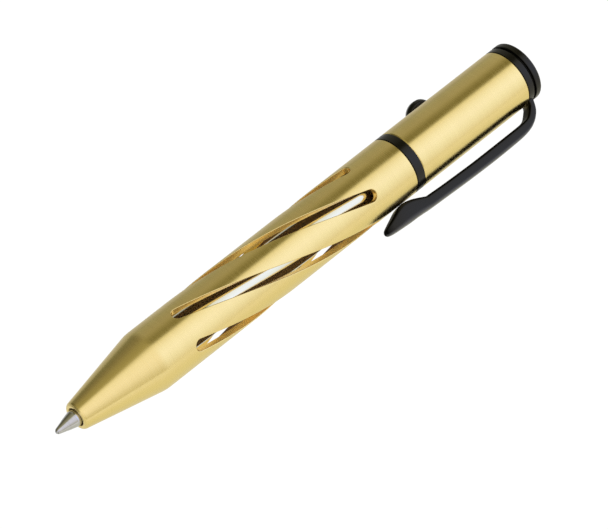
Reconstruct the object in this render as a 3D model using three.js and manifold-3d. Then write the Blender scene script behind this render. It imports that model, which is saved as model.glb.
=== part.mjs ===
// Compact retractable ballpoint pen with a bolt action, as an assembly of separate named pieces.
// Millimetres, +Z up. The pen lies along X: the origin is the centre of the end cap's flat rear
// face, +X leaves the cap, and the writing tip points towards -X. Front means -X. The tip is out.
// Directions round the axis are degrees from +Y towards +Z. Threaded faces are left plain.
import * as THREE from "three";
import { mergeVertices } from "three/addons/utils/BufferGeometryUtils.js";
import Module from "manifold-3d";

const wasm = await Module();
wasm.setup();

const DEG = Math.PI / 180;

// ---------------------------------------------------------------- driving dimensions
const BARREL_SEGMENTS = 36;
const BARREL_R = 5.0; // outer radius of the barrels, band and clip ring
const BARREL_CHAMFER = 0.15;

// Stations along the axis, from the rear
const JOINT_GAP = 0.04; // between neighbouring rings and barrels
const RING = { rear: -1.8, front: -2.92 };
const REAR_BARREL = { rear: RING.front - JOINT_GAP, front: -26.12 };
const BAND = { rear: REAR_BARREL.front - JOINT_GAP, front: -27.71 };
const FRONT_BARREL = { rear: BAND.front - JOINT_GAP, coneRear: -80.2, front: -94.4 };

// Joints between the barrels, cap and coupler
const THREAD_BORE = 4.0;
const SPIGOT_R = 3.9;
const SPIGOT_END_R = 3.7; // at the chamfered end of a spigot
const SPIGOT_CHAMFER = 0.2; // length of that chamfer
const SEAL = { meanR: 3.72, wireR: 0.25, grooveR: 3.45, grooveWidth: 0.8 };
const SEAL_X = { cap: -4.3, couplerRear: -25.4, couplerFront: -28.6 };

// Bolt action
const TRAVEL = 5.5; // refill travel
const TURN = 26; // degrees the bolt turns into either parking notch
const BOLT_DIR = -26.7; // direction of the bolt's stem and knob
const STEM_X = -15.8; // stem station with the tip out
const STEM_R = 1.1;
const STEM_HOLE_R = STEM_R + 0.04; // in the carrier and in the knob
const STEM_SEGMENTS = 20;
const GUIDE_BORE = 3.55; // where the bolt carrier slides

// Refill
const REFILL_R = 2.95;
const REFILL_SHOULDER_X = -82.1;
const PRESS_SEGMENTS = 28; // facets of the plug and nose pressed into the refill tube
const BALL_X = -97.98; // centre of the writing ball

// ---------------------------------------------------------------- materials
const standard = (settings) => new THREE.MeshStandardMaterial(settings);
const brass = () => standard({ color: 0xd9bd67, roughness: 0.32, metalness: 1.0 });
const black = () => standard({ color: 0x17181a, roughness: 0.42, metalness: 0.6 });
const steel = () => standard({ color: 0xb9bcc2, roughness: 0.22, metalness: 1.0 });
const nickel = () => standard({ color: 0xc9c4bb, roughness: 0.15, metalness: 1.0 });
const springSteel = () => standard({ color: 0xa5a8ad, roughness: 0.28, metalness: 1.0 });
const rubber = () => standard({ color: 0x121212, roughness: 0.85, metalness: 0.0 });
const plastic = () => standard({ color: 0x2b2c2e, roughness: 0.6, metalness: 0.0 });
const carbide = () => standard({ color: 0x8c8f94, roughness: 0.12, metalness: 1.0 });

// ---------------------------------------------------------------- geometry helpers
// A closed geometry as a solid: only positions count, shared vertices are merged, collapsed
// triangles are left out, and an inside-out surface is turned round.
function solid(geometry) {
  const bare = geometry.clone();
  for (const name of Object.keys(bare.attributes)) {
    if (name !== "position") bare.deleteAttribute(name);
  }
  const merged = mergeVertices(bare, 1e-4);
  const corners = merged.index.array;
  const kept = [];
  for (let k = 0; k < corners.length; k += 3) {
    const [a, b, c] = corners.slice(k, k + 3);
    if (a !== b && b !== c && a !== c) kept.push(a, b, c);
  }
  const build = () =>
    new wasm.Manifold(
      new wasm.Mesh({
        numProp: 3,
        vertProperties: new Float32Array(merged.attributes.position.array),
        triVerts: new Uint32Array(kept),
      }),
    );
  const made = build();
  if (made.volume() >= 0) return made;
  for (let k = 0; k < kept.length; k += 3) {
    [kept[k + 1], kept[k + 2]] = [kept[k + 2], kept[k + 1]];
  }
  return build();
}

function geometryOf(shape) {
  const mesh = shape.getMesh();
  const positions = new Float32Array(mesh.numVert * 3);
  for (let k = 0; k < mesh.numVert; k++) {
    const start = k * mesh.numProp;
    positions.set(mesh.vertProperties.subarray(start, start + 3), k * 3);
  }
  const geometry = new THREE.BufferGeometry()
    .setAttribute("position", new THREE.BufferAttribute(positions, 3))
    .setIndex(new THREE.BufferAttribute(new Uint32Array(mesh.triVerts), 1));
  geometry.computeVertexNormals();
  return geometry;
}

// Moves every vertex to the [x, y, z] that the given function returns for it.
function remap(geometry, move) {
  const position = geometry.attributes.position;
  for (let k = 0; k < position.count; k++) {
    position.setXYZ(k, ...move(position.getX(k), position.getY(k), position.getZ(k)));
  }
  return geometry;
}

// Local +Y becomes the direction dir round the X axis, and the piece moves to station x.
function place(geometry, x, dir) {
  return geometry.applyMatrix4(
    new THREE.Matrix4().makeRotationX(dir * DEG).setPosition(x, 0, 0),
  );
}

// A lathe about Y from a profile of [height, radius]. A profile that starts off the axis
// is closed into a loop; one that starts on the axis also ends there.
function lathe(profile, segments) {
  const points = profile.map(([height, radius]) => new THREE.Vector2(radius, height));
  if (profile[0][1] > 0) points.push(points[0].clone());
  return new THREE.LatheGeometry(points, segments);
}

// A piece turned about the pen's axis, from a profile of [x, radius].
function turned(profile, segments = BARREL_SEGMENTS) {
  return solid(remap(lathe(profile, segments), (x, y, z) => [y, -x, z]));
}

// A piece turned about a radial line at station x, from a profile of
// [distance from the pen's axis, radius].
function radial(profile, x, dir, segments) {
  return solid(place(lathe(profile, segments), x, dir));
}

// A solid pin about a radial line, square at both ends.
function radialPin({ from, to, radius, x, dir, segments }) {
  return radial([[from, 0], [from, radius], [to, radius], [to, 0]], x, dir, segments);
}

const outline = (points) => new THREE.Shape(points.map(([x, y]) => new THREE.Vector2(x, y)));
const polar = (radius, angle) => [radius * Math.cos(angle), radius * Math.sin(angle)];

// ---------------------------------------------------------------- housing
// Profile points of an O-ring groove in a spigot, from its rear edge to its front edge.
function sealGroove(x) {
  const rear = x + SEAL.grooveWidth / 2;
  const front = x - SEAL.grooveWidth / 2;
  return [[rear, SPIGOT_R], [rear, SEAL.grooveR], [front, SEAL.grooveR], [front, SPIGOT_R]];
}

function oRing(x) {
  const facets = 6;
  const profile = [];
  for (let k = 0; k < facets; k++) {
    const [along, out] = polar(SEAL.wireR, ((k + 0.5) / facets) * 2 * Math.PI);
    profile.push([x + along, SEAL.meanR + out]);
  }
  return turned(profile);
}

// Flange with a rounded rear edge, a neck that leaves the narrow groove in front of it, and
// a hollow threaded spigot with an O-ring groove.
function endCap() {
  const flangeFront = -1.35;
  const neckR = 4.5;
  const neckFront = -1.77;
  const spigotFront = -6.9;
  const boreR = 2.6;
  return turned([
    [0, 0], [0, 4.4], [-0.07, 4.72], [-0.27, 4.95], [-0.45, 5.02], [-1.22, 5.02],
    [flangeFront, 4.9], [flangeFront, neckR],
    [neckFront, neckR], [neckFront, SPIGOT_R],
    ...sealGroove(SEAL_X.cap),
    [spigotFront + SPIGOT_CHAMFER, SPIGOT_R], [spigotFront, SPIGOT_END_R],
    [spigotFront, boreR], [-2.2, boreR], [-1.9, 0],
  ]);
}

// The ring of the clip, between the rear barrel and the end cap.
function clipRing() {
  const boreR = 3.96;
  return turned([
    [RING.front, boreR], [RING.front, 4.9], [RING.front + 0.1, BARREL_R],
    [RING.rear - 0.12, BARREL_R], [RING.rear, 4.88], [RING.rear, boreR],
  ]);
}

// Rear barrel's tube: a thread bore at each end and the narrower guide bore between them.
function rearTube() {
  const { rear, front } = REAR_BARREL;
  return turned([
    [rear, THREAD_BORE], [rear, BARREL_R - BARREL_CHAMFER], [rear - BARREL_CHAMFER, BARREL_R],
    [front + BARREL_CHAMFER, BARREL_R], [front, BARREL_R - BARREL_CHAMFER],
    [front, THREAD_BORE],
    [-20.9, THREAD_BORE], [-20.7, GUIDE_BORE], [-7.3, GUIDE_BORE], [-7.1, THREAD_BORE],
  ]);
}

// Bolt track: half width, and the radii between which its cutters run.
const TRACK = { half: 1.25, inner: 2.4, outer: 6.0, notchOuter: 6.2 };

// Rounds a corner or an end of the track.
function trackPin(x, dir) {
  const { inner: from, outer: to, half: radius } = TRACK;
  return radialPin({ from, to, radius, x, dir, segments: 16 });
}

// The straight leg between the two ends of the travel.
function trackLeg() {
  const leg = new THREE.BoxGeometry(TRAVEL, TRACK.outer - TRACK.inner, 2 * TRACK.half);
  leg.translate(TRAVEL / 2, (TRACK.inner + TRACK.outer) / 2, 0);
  return solid(place(leg, STEM_X, BOLT_DIR));
}

// A notch: the fan of wall the bolt sweeps as it turns at station x.
function trackNotch(x) {
  const steps = 6;
  const start = (BOLT_DIR - TURN) * DEG;
  const end = BOLT_DIR * DEG;
  const angleAt = (k) => start + ((end - start) * k) / steps;
  const points = [polar(TRACK.inner, start)];
  for (let k = 0; k <= steps; k++) points.push(polar(TRACK.notchOuter, angleAt(k)));
  for (let k = steps; k > 0; k--) points.push(polar(TRACK.inner, angleAt(k)));
  const fan = new THREE.ExtrudeGeometry(outline(points), {
    depth: 2 * TRACK.half,
    bevelEnabled: false,
  });
  // the outline's plane becomes Y and Z
  return solid(remap(fan, (y, z, depth) => [depth - TRACK.half + x, y, z]));
}

// A C-shaped bolt track goes through the wall: a straight leg with a notch at each end.
function rearBarrel() {
  const ends = [STEM_X, STEM_X + TRAVEL];
  let barrel = rearTube().subtract(trackLeg());
  for (const x of ends) barrel = barrel.subtract(trackPin(x, BOLT_DIR));
  for (const x of ends) {
    barrel = barrel.subtract(trackNotch(x)).subtract(trackPin(x, BOLT_DIR - TURN));
  }
  return barrel;
}

// Joins the two barrels inside the band, with an O-ring groove on each spigot.
function threadedCoupler() {
  const rear = -21.3;
  const front = -33.8;
  const boreR = 3.15;
  return turned([
    [rear, boreR], [rear, SPIGOT_END_R], [rear - SPIGOT_CHAMFER, SPIGOT_R],
    ...sealGroove(SEAL_X.couplerRear),
    ...sealGroove(SEAL_X.couplerFront),
    [front + SPIGOT_CHAMFER, SPIGOT_R], [front, SPIGOT_END_R], [front, boreR],
  ]);
}

// The black ring that shows between the barrels, slipped over the coupler.
function centreBand() {
  const boreR = 3.95;
  const chamfer = 0.08;
  return turned([
    [BAND.rear, boreR], [BAND.rear, BARREL_R - chamfer], [BAND.rear - chamfer, BARREL_R],
    [BAND.front + chamfer, BARREL_R], [BAND.front, BARREL_R - chamfer], [BAND.front, boreR],
  ]);
}

// ---------------------------------------------------------------- clip arm
const CLIP_DIR = 203.8; // direction of the clip round the axis
const CLIP_W = 3.0;
const CLIP_BEVEL = 0.25;

// Side outline of the clip, as [x, height above the axis].
const CLIP_OUTLINE = [
  // root leg just above the ring, and the outside of the bend
  [-2.13, 5.32], [-2.34, 5.75], [-2.58, 6.15], [-2.87, 6.56], [-3.24, 6.95], [-3.7, 7.33],
  [-4.2, 7.68], [-4.78, 7.97], [-5.4, 8.2], [-6.2, 8.4], [-7.2, 8.52], [-8.5, 8.57],
  // top of the arm
  [-15.2, 8.56], [-19.5, 8.48], [-24.5, 8.36], [-27.5, 8.18], [-30.4, 7.99], [-33.0, 7.8],
  // turned-up tip
  [-34.6, 7.68], [-35.45, 7.55], [-36.0, 7.33], [-36.2, 7.05], [-36.0, 6.75], [-35.1, 6.3],
  // wedge-shaped pad, lowest just off the barrel
  [-34.0, 5.97], [-33.2, 5.72], [-32.5, 5.45], [-31.9, 5.22], [-31.2, 5.05], [-30.5, 5.1],
  [-29.63, 5.36], [-28.7, 5.7], [-27.8, 6.12], [-27.3, 6.4],
  // underside of the arm
  [-26.0, 6.5], [-23.0, 6.7], [-19.5, 6.8], [-15.0, 6.86], [-7.0, 6.84],
  // inside of the bend, back to the root
  [-5.6, 6.8], [-5.0, 6.72], [-4.5, 6.47], [-3.85, 5.95], [-3.3, 5.6], [-3.08, 5.32],
];

// A block that holds the clip and rounds the front tip in plan.
function clipPlanBlock() {
  const rear = 1;
  const side = 4; // half width behind the rounded tip, clear of the clip
  const tipRear = -33.4;
  const tipRearHalf = CLIP_W / 2 + 0.02;
  const arc = { x: -34.35, length: 1.9, half: CLIP_W / 2 - 0.1, steps: 10 };
  const points = [[rear, -side], [rear, side], [tipRear, side], [tipRear, tipRearHalf]];
  for (let k = 0; k <= arc.steps; k++) {
    const angle = Math.PI / 2 + (k / arc.steps) * Math.PI;
    points.push([arc.x + arc.length * Math.cos(angle), arc.half * Math.sin(angle)]);
  }
  points.push([tipRear, -tipRearHalf], [tipRear, -side]);
  const bottom = 3;
  const block = new THREE.ExtrudeGeometry(outline(points), { depth: 8, bevelEnabled: false });
  return solid(block.rotateX(-Math.PI / 2).translate(0, bottom, 0));
}

function clipArm() {
  const depth = CLIP_W - 2 * CLIP_BEVEL;
  const side = new THREE.ExtrudeGeometry(outline(CLIP_OUTLINE), {
    depth,
    bevelEnabled: true,
    bevelThickness: CLIP_BEVEL,
    bevelSize: CLIP_BEVEL,
    bevelOffset: -CLIP_BEVEL,
    bevelSegments: 2,
  }).translate(0, 0, -depth / 2);
  const arm = solid(side).intersect(clipPlanBlock());
  return solid(place(geometryOf(arm), 0, CLIP_DIR));
}

// ---------------------------------------------------------------- front barrel
// Straight tube and nose cone, with the spring chamber and the tip's bore inside the nose.
function frontTube() {
  const { rear, coneRear, front } = FRONT_BARREL;
  const chamberBore = 2.75;
  const tipBore = 1.5;
  const springSeat = -88.8;
  return turned([
    [rear, THREAD_BORE], [rear, BARREL_R - BARREL_CHAMFER], [rear - BARREL_CHAMFER, BARREL_R],
    [coneRear, BARREL_R],
    [-94.0, 2.28], [-94.2, 2.17], [-94.35, 1.98], [front, 1.8],
    [front, 1.65], [-94.25, tipBore], [-88.95, tipBore],
    [springSeat, 1.7], [springSeat, chamberBore], [-84.2, chamberBore],
    [-81.6, THREAD_BORE],
  ]);
}

const SLOT = {
  count: 5,
  width: 1.95,
  front: -74.3, // ends of the slots along the axis
  rear: -35.5,
  twist: 3.28, // degrees round the axis per millimetre along it
  phase: 81.3, // direction of the first slot's front end
  cutHeight: 3.4, // radial height of the cutter
  cutMiddle: 4.2, // radius at half the cutter's height
};
const SLOT_HELIX = Math.atan(BARREL_R * SLOT.twist * DEG); // helix angle at the surface

// One helical slot: a cutter that follows the helix on the barrel's surface. Its walls stay
// parallel to the radius at the middle of the slot, and its ends are round.
function slotCutter(index) {
  const front = SLOT.front + SLOT.width / 2; // centres of the round ends
  const rear = SLOT.rear - SLOT.width / 2;
  const dirAt = (x) => SLOT.phase + SLOT.twist * (x - front) + (index * 360) / SLOT.count;

  const steps = 20;
  const bar = new THREE.BoxGeometry(rear - front, SLOT.cutHeight, SLOT.width, steps, 1, 1);
  remap(bar, (along, up, across) => {
    const x = along + (front + rear) / 2;
    const height = up + SLOT.cutMiddle;
    const side = across * Math.cos(SLOT_HELIX);
    const angle = dirAt(x) * DEG;
    return [
      x - across * Math.sin(SLOT_HELIX),
      height * Math.cos(angle) - side * Math.sin(angle),
      height * Math.sin(angle) + side * Math.cos(angle),
    ];
  });

  let cutter = solid(bar);
  const radius = SLOT.width / 2;
  for (const x of [front, rear]) {
    const end = new THREE.CylinderGeometry(radius, radius, SLOT.cutHeight, 16, 1)
      .rotateY(SLOT_HELIX + Math.PI / 2)
      .translate(0, SLOT.cutMiddle, 0);
    cutter = cutter.add(solid(place(end, x, dirAt(x))));
  }
  return cutter;
}

function frontBarrel() {
  let barrel = frontTube();
  for (let k = 0; k < SLOT.count; k++) barrel = barrel.subtract(slotCutter(k));
  return barrel;
}

// ---------------------------------------------------------------- return spring
const SPRING = { radius: 2.2, wireR: 0.21, front: -88.5, turns: 7.5, gap: 0.03 };

// Centre line of the wire, from the nose to the refill's shoulder.
class SpringCurve extends THREE.Curve {
  getPoint(t, target = new THREE.Vector3()) {
    const { radius, wireR, front, turns, gap } = SPRING;
    const turn = t * turns;
    const endPitch = 2 * wireR + gap; // first and last turns lie closed
    const rear = REFILL_SHOULDER_X - wireR - gap;
    const pitch = (rear - front - 2 * endPitch) / (turns - 2);
    let x = front + endPitch + pitch * (turn - 1);
    if (turn < 1) x = front + endPitch * turn;
    else if (turn > turns - 1) x = rear - endPitch * (turns - turn);
    return target.set(x, ...polar(radius, 2 * Math.PI * turn));
  }
}

function returnSpring() {
  const facets = 5;
  const points = [];
  for (let k = 0; k < facets; k++) points.push(polar(SPRING.wireR, (k / facets) * 2 * Math.PI));
  const wire = outline(points);
  wire.closePath();
  return solid(
    new THREE.ExtrudeGeometry(wire, {
      steps: 96,
      bevelEnabled: false,
      extrudePath: new SpringCurve(),
    }),
  );
}

// ---------------------------------------------------------------- refill
// Thin tube, open at both ends.
function refillTube() {
  const rear = -18.95;
  const front = -81.6;
  const boreR = 2.6;
  const chamfer = 0.1;
  return turned([
    [rear, boreR], [rear, REFILL_R - chamfer], [rear - chamfer, REFILL_R],
    [front + chamfer, REFILL_R], [front, REFILL_R - chamfer], [front, boreR],
  ]);
}

// Closes the rear of the tube; its head sits in the bolt carrier's socket.
function refillPlug() {
  return turned(
    [
      [-18.2, 0], [-18.2, 2.3], [-18.4, 2.75], [-18.9, 2.75],
      [-18.9, 2.55], [-22.8, 2.55], [-23.0, 2.35], [-23.0, 0],
    ],
    PRESS_SEGMENTS,
  );
}

// Pressed into the tube, with the shoulder that the spring pushes on and a neck that passes
// through the spring. The wider front bore holds the writing tip.
function refillNose() {
  const inkBore = 0.5;
  const tipSocketR = 0.97;
  const tipSocketRear = -85.0;
  return turned(
    [
      [-77.2, inkBore], [-77.2, 2.35], [-77.4, 2.55], [-81.65, 2.55],
      [-81.65, 2.85], [-81.75, REFILL_R], [-81.95, REFILL_R], [REFILL_SHOULDER_X, 2.8],
      [REFILL_SHOULDER_X, 1.78], [-87.9, 1.6], [-88.35, 1.45],
      [-88.35, tipSocketR], [tipSocketRear, tipSocketR], [tipSocketRear, inkBore],
    ],
    PRESS_SEGMENTS,
  );
}

// Turned tip with a cone, a small step and the socket that holds the ball.
function refillTip() {
  const channelR = 0.24;
  const socketR = 0.385;
  const socketSteps = 5;
  const channelAngle = 38; // degrees from +X to the socket's edge at the ink channel
  const socketSweep = 66; // degrees from there to the lip
  const socket = []; // from the lip to the ink channel
  for (let k = socketSteps; k >= 0; k--) {
    const [along, out] = polar(socketR, (channelAngle + (k / socketSteps) * socketSweep) * DEG);
    socket.push([BALL_X + along, out]);
  }
  return turned(
    [
      [-85.1, channelR], [-85.1, 0.85], [-85.2, 0.93], [-88.4, 0.93],
      [-88.4, 1.2], [-88.5, 1.3], [-94.9, 1.3], [-96.55, 0.88],
      [-96.6, 0.84], [-97.75, 0.53], [-97.95, 0.48], [-98.08, 0.42],
      ...socket,
      [BALL_X + 0.31, channelR],
    ],
    24,
  );
}

function writingBall() {
  const ballR = 0.36;
  const ball = new THREE.SphereGeometry(ballR, 16, 12);
  return solid(ball.rotateZ(Math.PI / 2).translate(BALL_X, 0, 0));
}

// ---------------------------------------------------------------- bolt
// A plunger with a socket for the rear of the refill and a cross hole for the stem.
function boltCarrier() {
  const rear = -13.2;
  const front = -20.3;
  const radius = 3.45;
  const chamfer = 0.25;
  const socketR = 3.04;
  const socketRear = -18.1;
  const blank = turned([
    [rear, 0], [rear, radius - chamfer], [rear - chamfer, radius],
    [front + chamfer, radius], [front, radius - 0.15],
    [front, socketR], [socketRear, socketR], [socketRear, 0],
  ]);
  const stemHole = radialPin({
    from: 0.8,
    to: 4.2,
    radius: STEM_HOLE_R,
    x: STEM_X,
    dir: BOLT_DIR,
    segments: STEM_SEGMENTS,
  });
  return blank.subtract(stemHole);
}

// The pin that passes through the track and holds the knob.
function boltStem() {
  const inner = 0.9;
  const outer = 6.85;
  const chamfer = 0.15;
  return radial(
    [
      [inner, 0], [inner, STEM_R - chamfer], [inner + chamfer, STEM_R],
      [outer - chamfer, STEM_R], [outer, STEM_R - chamfer], [outer, 0],
    ],
    STEM_X,
    BOLT_DIR,
    STEM_SEGMENTS,
  );
}

// A round button with a short collar under it and a blind hole for the stem.
function boltKnob() {
  const knobR = 2.3;
  const base = 5.2;
  const holeTop = 6.95;
  return radial(
    [
      [base, STEM_HOLE_R], [base, 1.75], [5.55, 1.8], [5.8, 2.05], [6.15, knobR - 0.06],
      [6.5, knobR], [7.0, knobR - 0.08], [7.45, 1.95], [7.7, 1.5], [7.8, 0.9], [7.8, 0],
      [holeTop, 0], [holeTop, STEM_HOLE_R],
    ],
    STEM_X,
    BOLT_DIR,
    24,
  );
}

// ---------------------------------------------------------------- assembly
function addGroup(parent) {
  const child = new THREE.Group();
  parent.add(child);
  return child;
}

function addPiece(parent, name, shape, material) {
  const mesh = new THREE.Mesh(geometryOf(shape), material);
  mesh.name = name;
  parent.add(mesh);
}

const pen = new THREE.Group();
pen.name = "pen";

const housing = addGroup(pen);
addPiece(housing, "end_cap", endCap(), black());
addPiece(housing, "end_cap_oring", oRing(SEAL_X.cap), rubber());
addPiece(housing, "clip_ring", clipRing(), black());
addPiece(housing, "rear_barrel", rearBarrel(), brass());
addPiece(housing, "threaded_coupler", threadedCoupler(), steel());
addPiece(housing, "coupler_rear_oring", oRing(SEAL_X.couplerRear), rubber());
addPiece(housing, "coupler_front_oring", oRing(SEAL_X.couplerFront), rubber());
addPiece(housing, "centre_band", centreBand(), black());

const clipBody = addGroup(pen);
addPiece(clipBody, "clip_arm", clipArm(), black());

const frontBody = addGroup(pen);
addPiece(frontBody, "front_barrel", frontBarrel(), brass());
addPiece(frontBody, "return_spring", returnSpring(), springSteel());

const refill = addGroup(pen);
addPiece(refill, "refill_tube", refillTube(), nickel());
addPiece(refill, "refill_plug", refillPlug(), plastic());
addPiece(refill, "refill_nose", refillNose(), brass());
addPiece(refill, "refill_tip", refillTip(), steel());
addPiece(refill, "writing_ball", writingBall(), carbide());

const bolt = addGroup(refill); // the bolt travels with the refill
addPiece(bolt, "bolt_carrier", boltCarrier(), steel());
addPiece(bolt, "bolt_stem", boltStem(), steel());
addPiece(bolt, "bolt_knob", boltKnob(), black());

export default pen;
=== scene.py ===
# A bolt-action ball pen with five helical slots through its front barrel.
# The pen's axis is X: the rear end face is at x = 0 and the writing tip points to -X.
# Directions round the axis are degrees from +Y towards +Z. Sizes are in mm, and become
# metres where a mesh is made.
import math

import bmesh
import bpy
import numpy as np
from mathutils import Matrix, Vector
from mathutils.geometry import tessellate_polygon


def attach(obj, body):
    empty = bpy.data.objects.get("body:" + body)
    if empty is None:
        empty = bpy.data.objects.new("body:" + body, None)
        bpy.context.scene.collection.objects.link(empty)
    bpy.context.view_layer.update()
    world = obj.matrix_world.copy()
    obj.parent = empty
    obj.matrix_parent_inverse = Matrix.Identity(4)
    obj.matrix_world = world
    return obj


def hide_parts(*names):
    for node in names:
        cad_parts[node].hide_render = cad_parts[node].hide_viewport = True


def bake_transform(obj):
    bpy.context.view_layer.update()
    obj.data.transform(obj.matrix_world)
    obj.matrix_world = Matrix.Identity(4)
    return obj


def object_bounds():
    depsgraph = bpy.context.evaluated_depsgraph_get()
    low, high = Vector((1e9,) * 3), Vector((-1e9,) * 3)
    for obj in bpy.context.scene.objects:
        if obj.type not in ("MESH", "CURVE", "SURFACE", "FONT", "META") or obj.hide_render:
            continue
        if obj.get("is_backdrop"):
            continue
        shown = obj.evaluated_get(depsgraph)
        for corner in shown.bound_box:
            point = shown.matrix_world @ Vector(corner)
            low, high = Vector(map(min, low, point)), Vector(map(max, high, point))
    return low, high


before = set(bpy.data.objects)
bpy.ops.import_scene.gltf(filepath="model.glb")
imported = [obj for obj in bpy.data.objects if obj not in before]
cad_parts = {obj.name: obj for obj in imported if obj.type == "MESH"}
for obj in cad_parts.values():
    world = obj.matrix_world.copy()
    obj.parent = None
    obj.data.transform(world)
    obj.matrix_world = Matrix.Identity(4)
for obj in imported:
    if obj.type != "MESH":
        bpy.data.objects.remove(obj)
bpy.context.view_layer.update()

DEG = math.pi / 180
MM = 0.001

# ------------------------------------------------------------------ stations and sizes, mm
BODY_R = 5.0
BORE_R = 4.0
JOINT = 0.04  # gap between neighbouring outer pieces
EDGE = 0.16  # chamfer at the barrels' ends

RING_REAR, RING_FRONT = -1.8, -2.92
REAR_BARREL_REAR, REAR_BARREL_FRONT = RING_FRONT - JOINT, -26.12
BAND_REAR, BAND_FRONT = REAR_BARREL_FRONT - JOINT, -27.71
FRONT_BARREL_REAR = BAND_FRONT - JOINT
CONE_START, NOSE_END = -80.2, -94.4
NOSE_BORE_R = 1.5

BALL_X, BALL_R = -97.98, 0.36
SOCKET_R = 0.385

STEM_X, STEM_DIR = -15.8, -26.7
TRACK_TRAVEL, TRACK_TURN, TRACK_HALF = 5.5, 26.0, 1.25
GUIDE_R = 3.55  # narrower bore the bolt carrier slides in
CARRIER_R, CARRIER_BORE_R = 3.45, 3.04

CLIP_DIR = 203.8
CLIP_OUT = (0.0, math.cos(CLIP_DIR * DEG), math.sin(CLIP_DIR * DEG))

SLOTS, SLOT_W = 5, 1.95
SLOT_FRONT, SLOT_REAR = -74.3, -35.5
SLOT_X0, SLOT_X1 = SLOT_FRONT + SLOT_W / 2, SLOT_REAR - SLOT_W / 2  # centres of the round ends
SLOT_TWIST, SLOT_PHASE = 3.28, 81.3  # degrees per mm, and degrees at SLOT_X0
SLOT_EDGE_R = 0.13
SECTOR = 2 * math.pi / SLOTS


# ------------------------------------------------------------------ mesh helpers
MERGE = 1e-5  # vertices closer than this are one


def circle_angles(count):
    return np.arange(count) * 2 * math.pi / count


def around(x, radius, angles):
    """Vectors at the given angles round the X axis; x and radius may be numbers or arrays."""
    cos, sin = np.cos(angles), np.sin(angles)
    return np.stack([np.full_like(cos, x), radius * cos, radius * sin], 1)


def add_object(name, mesh):
    obj = bpy.data.objects.new(name, mesh)
    bpy.context.scene.collection.objects.link(obj)
    return obj


def tube_faces(rings, count, closed=False):
    """Quads between rings of count vertices; closed joins the last ring to the first."""
    faces = []
    for i in range(rings if closed else rings - 1):
        here, after = i * count, (i + 1) % rings * count
        for j in range(count):
            j2 = (j + 1) % count
            faces.append((here + j, here + j2, after + j2, after + j))
    return faces


def solid_mesh(name, verts, faces):
    """A closed mesh from verts in mm, its faces turned outward."""
    mesh = bpy.data.meshes.new(name)
    mesh.from_pydata((np.array(verts) * MM).tolist(), [], faces)
    bm = bmesh.new()
    bm.from_mesh(mesh)
    bmesh.ops.recalc_face_normals(bm, faces=bm.faces)
    bm.to_mesh(mesh)
    bm.free()
    return mesh


class Patchwork:
    """Collects faces in mm with exact normals at their corners."""

    def __init__(self):
        self.verts, self.faces, self.normals, self.mats = [], [], [], []

    def grid(self, rows, normals_next, normals_back=None, mat=0):
        """Quads between neighbouring rows, each row a closed ring. normals_next holds a row's
        normals on the side of the following row, normals_back those on the other side."""
        if normals_back is None:
            normals_back = normals_next
        count = len(rows[0])
        base = len(self.verts)
        for row in rows:
            self.verts.extend(row)
        for face in tube_faces(len(rows), count):
            self.faces.append(tuple(base + k for k in face))
            self.mats.append(mat)
        for near, far in zip(normals_next, normals_back[1:]):
            for j in range(count):
                j2 = (j + 1) % count
                self.normals.append((near[j], near[j2], far[j2], far[j]))

    def lathe(self, rows, angles, closed, mat=0, twist=None):
        """Rows from profile_of turned round X; twist adds an angle to each row."""
        if closed:
            rows = rows + [rows[0]]
        points, normals_next, normals_back = [], [], []
        for k, (x, radius, n_in, n_out) in enumerate(rows):
            turned_angles = np.asarray(angles) + (twist[k] if twist is not None else 0.0)
            points.append(around(x, radius, turned_angles))
            normals_next.append(around(n_out[0], n_out[1], turned_angles))
            normals_back.append(around(n_in[0], n_in[1], turned_angles))
        self.grid(points, normals_next, normals_back, mat)

    def build(self, name, materials):
        """Merges doubled vertices, turns each face to agree with its normals, keeps the normals."""
        verts = np.asarray(self.verts, float)
        key = np.round(verts / MERGE).astype(np.int64)
        _, first, inverse = np.unique(key, axis=0, return_index=True, return_inverse=True)
        order = np.argsort(first)
        rank = np.empty_like(order)
        rank[order] = np.arange(len(order))
        verts = verts[first[order]]
        remap = rank[inverse.reshape(-1)]
        faces, normals, mats = [], [], []
        for face, face_normals, mat in zip(self.faces, self.normals, self.mats):
            ids, corners = [], []
            for i, normal in zip(face, face_normals):
                j = int(remap[i])
                if ids and ids[-1] == j:
                    continue
                ids.append(j)
                corners.append(normal)
            if len(ids) > 1 and ids[0] == ids[-1]:
                ids.pop()
                corners.pop()
            if len(set(ids)) < 3:
                continue
            p = verts[ids]
            facing = np.zeros(3)
            for i in range(len(ids)):
                facing += np.cross(p[i] - p[0], p[(i + 1) % len(ids)] - p[0])
            if facing @ np.sum(corners, axis=0) < 0:
                ids.reverse()
                corners.reverse()
            faces.append(ids)
            normals.extend(corners)
            mats.append(mat)
        mesh = bpy.data.meshes.new(name)
        mesh.from_pydata((verts * MM).tolist(), [], faces)
        mesh.polygons.foreach_set("use_smooth", [True] * len(mesh.polygons))
        mesh.polygons.foreach_set("material_index", mats)
        mesh.update()
        normals = np.asarray(normals, float)
        normals /= np.maximum(np.linalg.norm(normals, axis=1, keepdims=True), 1e-12)
        mesh.normals_split_custom_set(normals.tolist())
        for material in materials:
            mesh.materials.append(material)
        return add_object(name, mesh)


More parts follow.
